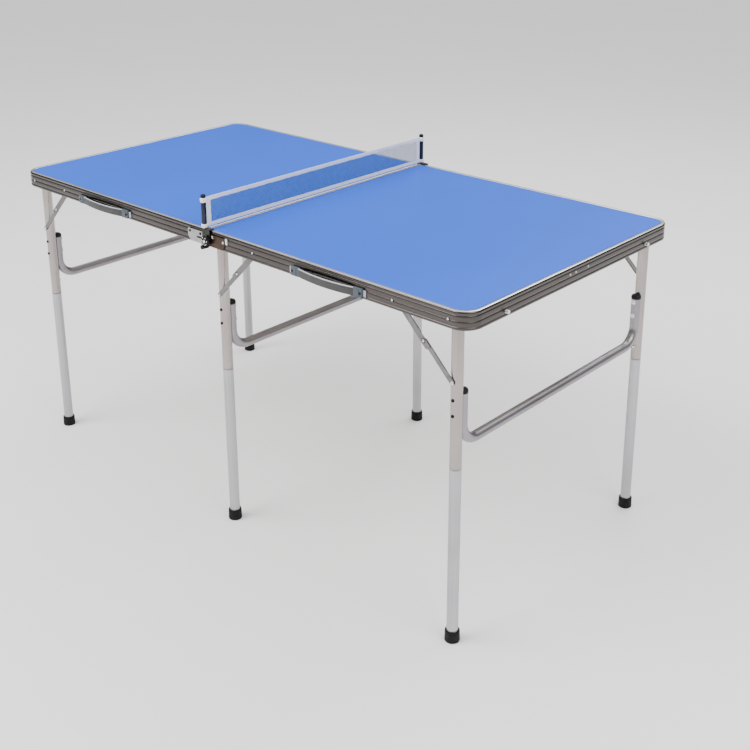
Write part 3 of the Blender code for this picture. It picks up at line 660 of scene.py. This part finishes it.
def brace(name, side, sign):
    """Two pressed channels that meet at the knee. The upper one runs on past it, over the lower one."""
    reach = FRAMES[name]
    x = LEG_X[name]
    a = Vector((x + reach * BRACE, PIVOT_Z))
    b = Vector((x, PIVOT_Z - BRACE))
    knee = (a + b) / 2
    span = (knee - a).length

    def along(start, end):
        """Local X runs along the link, and Y away from the leg's pivot. Z is the distance from the middle plane."""
        ahead = (end - start).normalized()
        away = Vector((ahead.y, -ahead.x))
        if away.dot(knee - Vector((x, PIVOT_Z))) < 0:
            away = -away
        return Matrix(((ahead.x, away.x, 0, start.x), (0, 0, sign, 0), (ahead.y, away.y, 0, start.y), (0, 0, 0, 1)))

    upper = along(a, knee)
    past, w, t = 0.018, 0.0070, 0.0015
    outline = arc(0, 0, w, 90, 270, 12) + arc(span + past - 0.0035, -w + 0.0035, 0.0035, -90, 0, 5)
    outline += arc(span + past - 0.0035, w - 0.0035, 0.0035, 0, 90, 5)
    shape = Shape().add(plate(outline, *UPPER_WEB, upper, 0.0004))
    flange = [(0, w - t), (span + past - 0.004, w - t), (span + past - 0.004, w), (0, w)]
    shape.add(plate(flange, *UPPER_FLANGE, upper, 0.0004))
    flange = [(0, -w), (span - 0.016, -w), (span - 0.016, -w + t), (0, -w + t)]
    shape.add(plate(flange, *UPPER_FLANGE, upper, 0.0004))
    # a dark ring under the knee's rivet head: painted shadow
    shape.add(rivet((knee.x, sign * 0.3670, knee.y), (0, sign, 0), 0.0052, 0.0006), 2)
    shape.add(rivet((knee.x, sign * 0.3674, knee.y), (0, sign, 0), 0.0032, 0.0014), 1)
    shape.add(swept([(knee.x, sign * 0.3668, knee.y), (knee.x, sign * 0.3612, knee.y)], 0.0022, 18), 1)
    piece(f"brace_link_upper_{name}_{side}", shape, [BRACE_METAL, RIVET, DARK_BOLT_AND_SHADOW_RING], f"brace_upper_{name}_{side}",
          [f"brace_upper_{name}_{side}"])

    lower = along(b, knee)
    w, t = 0.0053, 0.0012
    outline = arc(0, 0, w, 90, 270, 12) + arc(span, 0, w, -90, 90, 12)
    shape = Shape().add(plate(outline, *LOWER_WEB, lower, 0.0004))
    for edge in (-1, 1):
        rim = sorted((edge * w, edge * (w - t)))
        flange = [(0, rim[0]), (span, rim[0]), (span, rim[1]), (0, rim[1])]
        shape.add(plate(flange, *LOWER_FLANGE, lower, 0.0004))
    piece(f"brace_link_lower_{name}_{side}", shape, BRACE_METAL, f"brace_lower_{name}_{side}",
          [f"brace_lower_{name}_{side}"])


# ---------------------------------------------------------------- hinge, bracket, knob


def hinge(side, sign):
    out = (0, sign, 0)
    face = HINGE_FACE
    for half, way in HALVES.items():
        length = 0.059 if half == "left" else 0.070
        inner = 0.0025 if half == "left" else 0.0058
        outline = [(inner, -0.002), (0.0105, -0.002), (0.016, 0.004), (length - 0.010, 0.004)]
        outline += [(length - 0.002, 0.012), (length, 0.016)] + arc(length - 0.004, 0.030, 0.004, 0, 90, 5)
        outline += [(inner, 0.034)]
        outline = [(way * px, pz) for px, pz in outline]
        shape = Shape().add(plate(outline, face, face + PLATE, on_side(sign, (0, 0, HINGE_Z)), 0.0005))
        if half == "left":
            barrel = [(0.0026, 0), (0.0046, 0), (0.0050, 0.0004), (0.0050, 0.0054), (0.0046, 0.0058)]
            barrel += [(0.0026, 0.0058)]
            shape.add(lathe(barrel, (0, sign * face, HINGE_Z), out, 36, closed=True))
            for px in (-0.0513, -0.0143):
                shape.add(screw_head((px, sign * (face + PLATE), 0.746), out, 0.0033, 0.0014), 1)
            shape.add(block((-0.0255, sign * (face + 0.0018), 0.7350),
                            (-0.0080, sign * (face + 0.0040), 0.7380)), 2)
        else:
            shape.add(block((0.0056, sign * (face + 0.0004), 0.7170),
                            (0.0100, sign * (face + 0.0120), 0.7210), 0.0005), 1)
            shape.add(block((0.0030, sign * (face + 0.0063), 0.7170),
                            (0.0080, sign * (face + 0.0118), 0.7200), 0.0005), 1)
            barrel = [(0, 0), (0.0046, 0), (0.0050, 0.0004), (0.0050, 0.0050), (0.0042, 0.0058), (0, 0.0059)]
            shape.add(lathe(barrel, (0, sign * (face + 0.0061), HINGE_Z), out, 36), 1)
            pin = [(0, 0), (0.0022, 0), (0.0022, 0.0065), (0, 0.0065)]
            shape.add(lathe(pin, (0, sign * (face + 0.0003), HINGE_Z), out, 20), 3)
            shape.add(rivet((0.0277, sign * (face + PLATE), 0.746), out, 0.0034, 0.0014), 3)
            shape.add(rivet((0.0640, sign * (face + PLATE), 0.7415), out, 0.0030, 0.0014), 3)
            tab = [(0.0715, 0.7390), (0.0790, 0.7390), (0.0790, 0.7535), (0.0715, 0.7535)]
            shape.add(plate(tab, face, face + 0.0016, on_side(sign), 0.0005), 3)
        main = ZINC if half == "left" else PLATE_WARM
        piece(f"hinge_leaf_{half}_{side}", shape, [main, DARK_BOLT_AND_SHADOW_RING, PLASTIC, RIVET], f"{half}_half",
              [f"hinge_plate_{half}_{side}"])


def net_bracket(side, sign):
    """A plate on the side rail, a foot over the rail, and the peg that the net's post stands on."""
    post = middle(f"net_post_{side}")
    outline = [(-0.0050, TOP + 0.0025), (-0.0050, 0.7310)] + arc(-0.0015, 0.7310, 0.0035, 180, 270, 5)
    outline += [(0.0180, 0.7275)] + arc(0.0180, 0.7310, 0.0035, 270, 360, 5) + [(0.0215, TOP + 0.0025)]
    front = plate(outline, BRACKET_FACE, BRACKET_FACE + PLATE, on_side(sign), 0.0005)
    hole = swept([(0.0130, sign * 0.378, 0.737), (0.0130, sign * 0.392, 0.737)], 0.0031, 24)
    shape = Shape().add(cut(front, hole))
    shape.add(block((-0.0080, sign * 0.3706, TOP + GAP),
                    (0.0215, sign * (BRACKET_FACE + 0.0018), TOP + 0.0030), 0.0008))
    peg = [(0, 0), (0.0034, 0), (0.0034, 0.0280), (0.0026, 0.0290), (0, 0.0290)]
    shape.add(lathe(peg, (0, post.y, TOP + 0.001), steps=28))
    piece(f"net_bracket_plate_{side}", shape, BRACKET, "right_half", [f"net_bracket_{side}"])


def hand_knob(side, sign):
    out = (0, sign, 0)
    low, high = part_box(f"bracket_knob_{side}")
    at = middle(f"bracket_knob_{side}")
    outer = high.y if sign > 0 else -low.y
    inner = BRACKET_FACE + PLATE + GAP
    depth = outer - inner
    start = (at.x, sign * inner, at.z)
    knob = Shape()
    lobes = [(0, 0.0026), (0.0095, 0.0026), (0.0113, 0.0031), (0.0120, 0.0044), (0.0120, depth - 0.0038)]
    lobes += [(0.0114, depth - 0.0022), (0.0098, depth - 0.0012), (0.0070, depth - 0.0010)]
    lobes += [(0.0052, depth - 0.0014), (0, depth - 0.0014)]
    knob.add(lathe(lobes, start, out, 96, reach=lambda t: 1 - 0.26 * (0.5 - 0.5 * math.cos(6 * t)) ** 1.3))
    stud = [(0, depth - 0.0026), (0.0040, depth - 0.0026), (0.0040, depth - 0.0008), (0.0032, depth - 0.0002)]
    knob.add(lathe([*stud, (0, depth)], start, out, 36), 1)
    # six small chrome domes on the lobes: painted glints where the knob's lobes catch the light
    for k in range(6):
        t = math.radians(60 * k)
        spot = Vector((at.x + 0.0086 * math.cos(t), sign * (inner + depth - 0.0016), at.z + 0.0086 * math.sin(t)))
        knob.add(rivet(spot, out, 0.0015, 0.0011, 20), 1)
    hub = [(0, 0.0034), (0.0088, 0.0034), (0.0090, 0.0028), (0.0090, 0.0010), (0.0084, 0.0002), (0.0030, 0)]
    knob.add(lathe([*hub, (0, 0.0002)], start, out, 40))
    thread = [(0, 0.0004)]
    for k in range(7):
        z = -0.0004 - k * 0.0006
        thread += [(0.0025, z + 0.00015), (0.0021, z - 0.00015)]
    knob.add(lathe(thread + [(0, -0.0043)], start, out, 20), 1)
    piece(f"hand_knob_{side}", knob, [PLASTIC, CHROME_AND_GLINT_DOTS], f"bracket_knob_{side}",
          [f"bracket_knob_{side}"])


# ---------------------------------------------------------------- handles and latches


def handle(half):
    low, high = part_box(f"handle_{half}")
    x = (low.x + high.x) / 2
    z0, z1 = low.z, high.z
    back = -high.y
    half_len, block_len, thick = (high.x - low.x) / 2, 0.024, 0.0032
    start = -half_len + block_len
    steps = 40
    xs = [start - 0.002 + 2 * (0.002 - start) * i / steps for i in range(steps + 1)]
    bow = [0.0025 + 0.0094 * max(math.sin(math.pi * i / steps), 0) ** 0.7 for i in range(steps + 1)]
    # the strap's section is a flat band with rounded rims, carried along its bow
    section = [(0.0, z0 + 0.003), (0.0005, z0 + 0.0018), (0.0016, z0 + 0.0015), (thick - 0.0008, z0 + 0.0020),
               (thick, z0 + 0.0034), (thick, z1 - 0.0034), (thick - 0.0008, z1 - 0.0020), (0.0016, z1 - 0.0015),
               (0.0005, z1 - 0.0018), (0.0, z1 - 0.003)]
    # a light band over the strap's top rim: a painted highlight where the dark strap's top edge catches the light
    highlight_band = [(0.0004, z1 - 0.0029), (thick + 0.0002, z1 - 0.0029), (thick + 0.0002, z1 - 0.0022)]
    highlight_band += [(thick - 0.0006, z1 - 0.0012), (0.0010, z1 - 0.0012), (0.0004, z1 - 0.0018)]
    shape = Shape()
    for index, ring in ((0, section), (2, highlight_band)):
        verts = [(x + px, -(back + depth + d), z) for px, depth in zip(xs, bow) for d, z in ring]
        shape.add((verts, quads(len(xs), len(ring)) + ends(len(verts), len(ring))), index)
    for way in (-1, 1):
        span = sorted((x + way * half_len, x + way * (half_len - block_len)))
        shape.add(block((span[0], -(back + 0.0002), z0 + 0.0008),
                        (span[1], -(back + 0.0062), z1 - 0.0006), 0.0012, 3), 1)
        edge = x + way * (half_len - block_len * 0.50)
        shape.add(block((edge - 0.0045, -(back + 0.0050), z0 + 0.0030),
                        (edge + 0.0045, -(back + 0.0072), z1 - 0.0030), 0.0008), 1)
        screw = (x + way * (half_len - 0.0045), -(back + 0.0061), (z0 + z1) / 2)
        shape.add(screw_head(screw, (0, -1, 0), 0.0030, 0.0012), 3)
        left, right = sorted((x + way * (half_len - 0.0012), x + way * (half_len + 0.0075)))
        tab = [(left, z0 + 0.004), (right, z0 + 0.004), (right, z1 - 0.004), (left, z1 - 0.004)]
        shape.add(plate(tab, back, back + 0.0016, on_side(-1), 0.0005), 2)
        clip = x + way * (half_len - block_len - 0.0020)
        shape.add(block((clip - 0.0012, -(back + 0.0002), z0 + 0.0040),
                        (clip + 0.0012, -(back + 0.0052), z1 - 0.0040), 0.0005), 2)
    piece(f"carry_handle_{half}", shape, [STRAP, BLOCK, TAB_AND_EDGE_HIGHLIGHT, DARK_BOLT_AND_SHADOW_RING], f"{half}_half",
          [f"handle_{half}"])


def latch(side, sign):
    at = (-END - GAP - 0.0015, sign * LATCH_Y, LATCH_Z)
    outline = arc(0, 0, 0.006, 0, 180, 14) + [(-0.006, -0.0255), (-0.0055, -0.0265), (0.0010, -0.0265)]
    outline += arc(0.0010, -0.0295, 0.0030, 90, -90, 8)[1:] + [(-0.0052, -0.0325)]
    outline += arc(0, -0.030, 0.006, 200, 360, 14)
    place = Matrix.Translation(at) @ Matrix(((0, 0, 1, 0), (1, 0, 0, 0), (0, 1, 0, 0), (0, 0, 0, 1)))
    shape = Shape().add(plate(outline, -0.0015, 0.0015, place, 0.0004))
    head = [(0, 0), (0.0046, 0), (0.0046, 0.0012), (0.0036, 0.0024), (0.0036, 0.0040), (0.0028, 0.0047)]
    shape.add(lathe([*head, (0, 0.0047)], (-END - 0.0033, at[1], at[2]), (-1, 0, 0), 28), 1)
    piece(f"latch_plate_{side}", shape, [ZINC, RIVET], f"latch_hook_{side}",
          [f"latch_hook_{side}"])


# ---------------------------------------------------------------- net


SQUARE = ((-1, -1), (1, -1), (1, 1), (-1, 1))
BOX_FACES = [(0, 1, 2, 3), (4, 5, 6, 7), (0, 1, 5, 4), (1, 2, 6, 5), (2, 3, 7, 6), (3, 0, 4, 7)]
STITCH_PITCH = 0.0036


def band(y0, y1, z0, z1, thick, columns, rows):
    """A flat ribbon in Y and Z, a little uneven, with its rims rounded."""
    verts, faces = [], []
    for face in (-1, 1):
        for i in range(columns + 1):
            for k in range(rows + 1):
                y = y0 + (y1 - y0) * i / columns
                z = z0 + (z1 - z0) * k / rows
                rim = min(1.0, min(i, columns - i, k * columns / rows, (rows - k) * columns / rows) + 0.35)
                drift = 0.00012 * (math.sin(y * 91 + z * 300) + math.sin(y * 223 + 1.7))
                verts.append((face * thick / 2 * rim + drift, y, z))
    size = (columns + 1) * (rows + 1)
    for face in (0, 1):
        for i in range(columns):
            for k in range(rows):
                a = face * size + i * (rows + 1) + k
                faces.append((a, a + 1, a + rows + 2, a + rows + 1))
    ring = [i * (rows + 1) for i in range(columns + 1)]
    ring += [columns * (rows + 1) + k for k in range(1, rows + 1)]
    ring += [i * (rows + 1) + rows for i in range(columns - 1, -1, -1)]
    ring += range(rows - 1, 0, -1)
    for a, b in zip(ring, ring[1:] + ring[:1]):
        faces.append((a, b, b + size, a + size))
    return verts, faces


def net():
    low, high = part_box("net")
    z0, z1 = low.z, high.z
    reach = high.y
    top_tape, bottom_tape, side_tape = 0.0098, 0.0092, 0.0135
    strands = Shape()
    pitch, w, t = 0.0034, 0.0008, 0.0006
    count = int((2 * reach - 0.002) / pitch)
    first = -pitch * (count - 1) / 2
    for i in range(count):
        y = first + i * pitch
        box = [(sx * t / 2, y + sy * w / 2, z) for z in (z0 + 0.0008, z1 - 0.0008) for sx, sy in SQUARE]
        strands.add((box, BOX_FACES))
    rows = int((z1 - z0 - 0.002) / pitch)
    first_z = (z0 + z1) / 2 - pitch * (rows - 1) / 2
    for i in range(rows):
        z = first_z + i * pitch
        sides = (-reach + 0.0006, reach - 0.0006)
        box = [(sx * t / 2 * 0.98, y, z + sz * w / 2) for y in sides for sx, sz in SQUARE]
        strands.add((box, BOX_FACES))
    mesh = piece("net_mesh", strands, STRAND, "net_set", ["net"], weighted=False)
    for name, span, rows in (
        ("top", (-reach, reach, z1 - top_tape, z1), 6),
        ("bottom", (-reach, reach, z0, z0 + bottom_tape), 6),
        ("near", (-reach, -reach + side_tape, z0 + 0.002, z1 - 0.002), 30),
        ("far", (reach - side_tape, reach, z0 + 0.002, z1 - 0.002), 30),
    ):
        level = name in ("top", "bottom")
        columns, thick = (120, 0.0015) if level else (8, 0.0013)
        ribbon = Shape().add(band(*span, thick, columns, rows))
        # a level tape has two lines of stitches on each face
        for z in (span[2] + 0.0014, span[3] - 0.0014) if level else ():
            for k in range(int(2 * reach / STITCH_PITCH)):
                y = -reach + 0.002 + k * STITCH_PITCH
                for face in (-1, 1):
                    ribbon.add(block((face * 0.00055, y, z - 0.0002),
                                     (face * 0.00092, y + 0.0024, z + 0.0002), 0.0001, 1), 1)
        piece(f"net_tape_{name}", ribbon, [TAPE, STITCH], "net_set", angle=70)
    for side, sign in SIDES.items():
        post = middle(f"net_post_{side}")
        r = 0.0060
        sleeve = Shape()
        for za, zb in ((z1 - top_tape - 0.0010, z1 + 0.0002), (z0, z0 + bottom_tape)):
            steps = [k / 8 for k in range(1, 8)]
            skin = [(r + (0.0011 + 0.0003 * math.sin(math.pi * f)), za + (zb - za) * f) for f in steps]
            profile = [(r + 0.0001, za + 0.0004), (r + 0.0006, za), *skin]
            profile += [(r + 0.0006, zb), (r + 0.0001, zb - 0.0004)]
            sleeve.add(lathe(profile, (0, post.y, 0), steps=40, closed=True))
            # the tape runs into the sleeve
            ys = sorted((sign * (reach - 0.004), sign * (abs(post.y) - r + 0.0004)))
            sleeve.add(block((-0.0010, ys[0], za + 0.0006), (0.0010, ys[1], zb - 0.0006), 0.0003))
        piece(f"net_sleeve_{side}", sleeve, TAPE, "net_set", angle=50)

        base, top = (corner.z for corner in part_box(f"net_post_{side}"))
        profile = [(0.0037, top - 0.008), (r - 0.0002, top - 0.008), (r - 0.0001, top - 0.0078)]
        profile += [(r - 0.0001, base + 0.0006), (r - 0.0007, base), (0.0037, base)]
        shape = Shape().add(lathe(profile, (0, post.y, 0), steps=44, closed=True))
        cap = [(0, top - 0.0085), (r - 0.0001, top - 0.0085), (r, top - 0.0078), (r, top - 0.0034)]
        cap += [(r - 0.0004, top - 0.0022), (r - 0.0013, top - 0.0009), (r - 0.0028, top - 0.0002), (0, top)]
        shape.add(lathe(cap, (0, post.y, 0), steps=44), 1)
        piece(f"post_{side}", shape, [POST, PLASTIC], "net_set", [f"net_post_{side}"])


for half, sign in HALVES.items():
    half_top(half, sign)
    handle(half)
for name in FRAMES:
    crossbar(name)
    for side, sign in SIDES.items():
        upper_tube(name, side, sign)
        lower_tube(name, side, sign)
        button(name, side, sign)
        brace(name, side, sign)
for side, sign in SIDES.items():
    hinge(side, sign)
    net_bracket(side, sign)
    hand_knob(side, sign)
    latch(side, sign)
net()


# ---------------------------------------------------------------- studio


CAMERA_AT = (1.9523, -1.9345, 1.5809)
CAMERA_TURNS = (42.5481, 18.2578, -0.2681)  # azimuth, elevation and roll, in degrees
FLOOR = 30  # half the floor's side
LAMPS = {  # where each stands, its size, and its watts
    "key": ((-1.2, -2.6, 3.6), (2.6, 2.6), 190),
    "fill": ((3.0, -0.6, 3.0), (2.0, 2.0), 60),
    "back": ((0.2, 2.6, 3.6), (3.0, 1.8), 80),
}


def area(name, at, size, power):
    """A soft lamp that faces the table."""
    lamp = bpy.data.lights.new(name, "AREA")
    lamp.shape = "RECTANGLE"
    lamp.size, lamp.size_y = size
    lamp.energy = power
    obj = bpy.data.objects.new(name, lamp)
    obj.location = at
    obj.rotation_euler = (Vector((0, 0, 0.5)) - Vector(at)).to_track_quat("-Z", "Y").to_euler()
    bpy.context.scene.collection.objects.link(obj)


def studio():
    scene = bpy.context.scene
    world = bpy.data.worlds.new("studio")
    scene.world = world
    world.use_nodes = True
    nodes, links = world.node_tree.nodes, world.node_tree.links
    where = nodes.new("ShaderNodeTexCoord")
    split = nodes.new("ShaderNodeSeparateXYZ")
    links.new(where.outputs["Generated"], split.inputs["Vector"])
    ramp = nodes.new("ShaderNodeValToRGB")
    stops = ramp.color_ramp.elements  # from a dim horizon below to a bright ceiling
    stops[0].position, stops[0].color = 0.02, (0.20, 0.20, 0.20, 1)
    stops[1].position, stops[1].color = 0.90, (1.60, 1.60, 1.60, 1)
    for spot, level in ((0.36, 0.26), (0.60, 1.10)):
        stop = stops.new(spot)
        stop.color = (level, level, level, 1)
    links.new(split.outputs["Z"], ramp.inputs["Fac"])
    links.new(ramp.outputs["Color"], nodes["Background"].inputs["Strength"])
    nodes["Background"].inputs["Color"].default_value = (0.99, 0.99, 1.0, 1)

    mesh = bpy.data.meshes.new("floor")
    mesh.from_pydata([(x * FLOOR, y * FLOOR, 0) for x, y in SQUARE], [], [(0, 1, 2, 3)])
    floor = bpy.data.objects.new("floor", mesh)
    floor.location.z = -0.0002
    paper = look("floor_paper", (0.88, 0.88, 0.88), (0.90, 0.90, 0.90), (0.85, 0.95), (3, 3, 3), 1, 0.0)
    mesh.materials.append(paper)
    scene.collection.objects.link(floor)

    for name, lamp in LAMPS.items():
        area(name, *lamp)

    lens = bpy.data.cameras.new("camera")
    lens.lens = 54.86
    lens.sensor_width = 36
    lens.shift_y = -0.20
    lens.clip_end = 200
    camera = bpy.data.objects.new("camera", lens)
    az, el, roll = map(math.radians, CAMERA_TURNS)
    back = Vector((math.sin(az) * math.cos(el), -math.cos(az) * math.cos(el), math.sin(el)))
    right = Vector((math.cos(az), math.sin(az), 0))
    up = back.cross(right)
    turn = Matrix((right, up, back)).transposed() @ Matrix.Rotation(roll, 3, "Z")
    camera.matrix_world = Matrix.Translation(CAMERA_AT) @ turn.to_4x4()
    scene.collection.objects.link(camera)
    scene.camera = camera


studio()
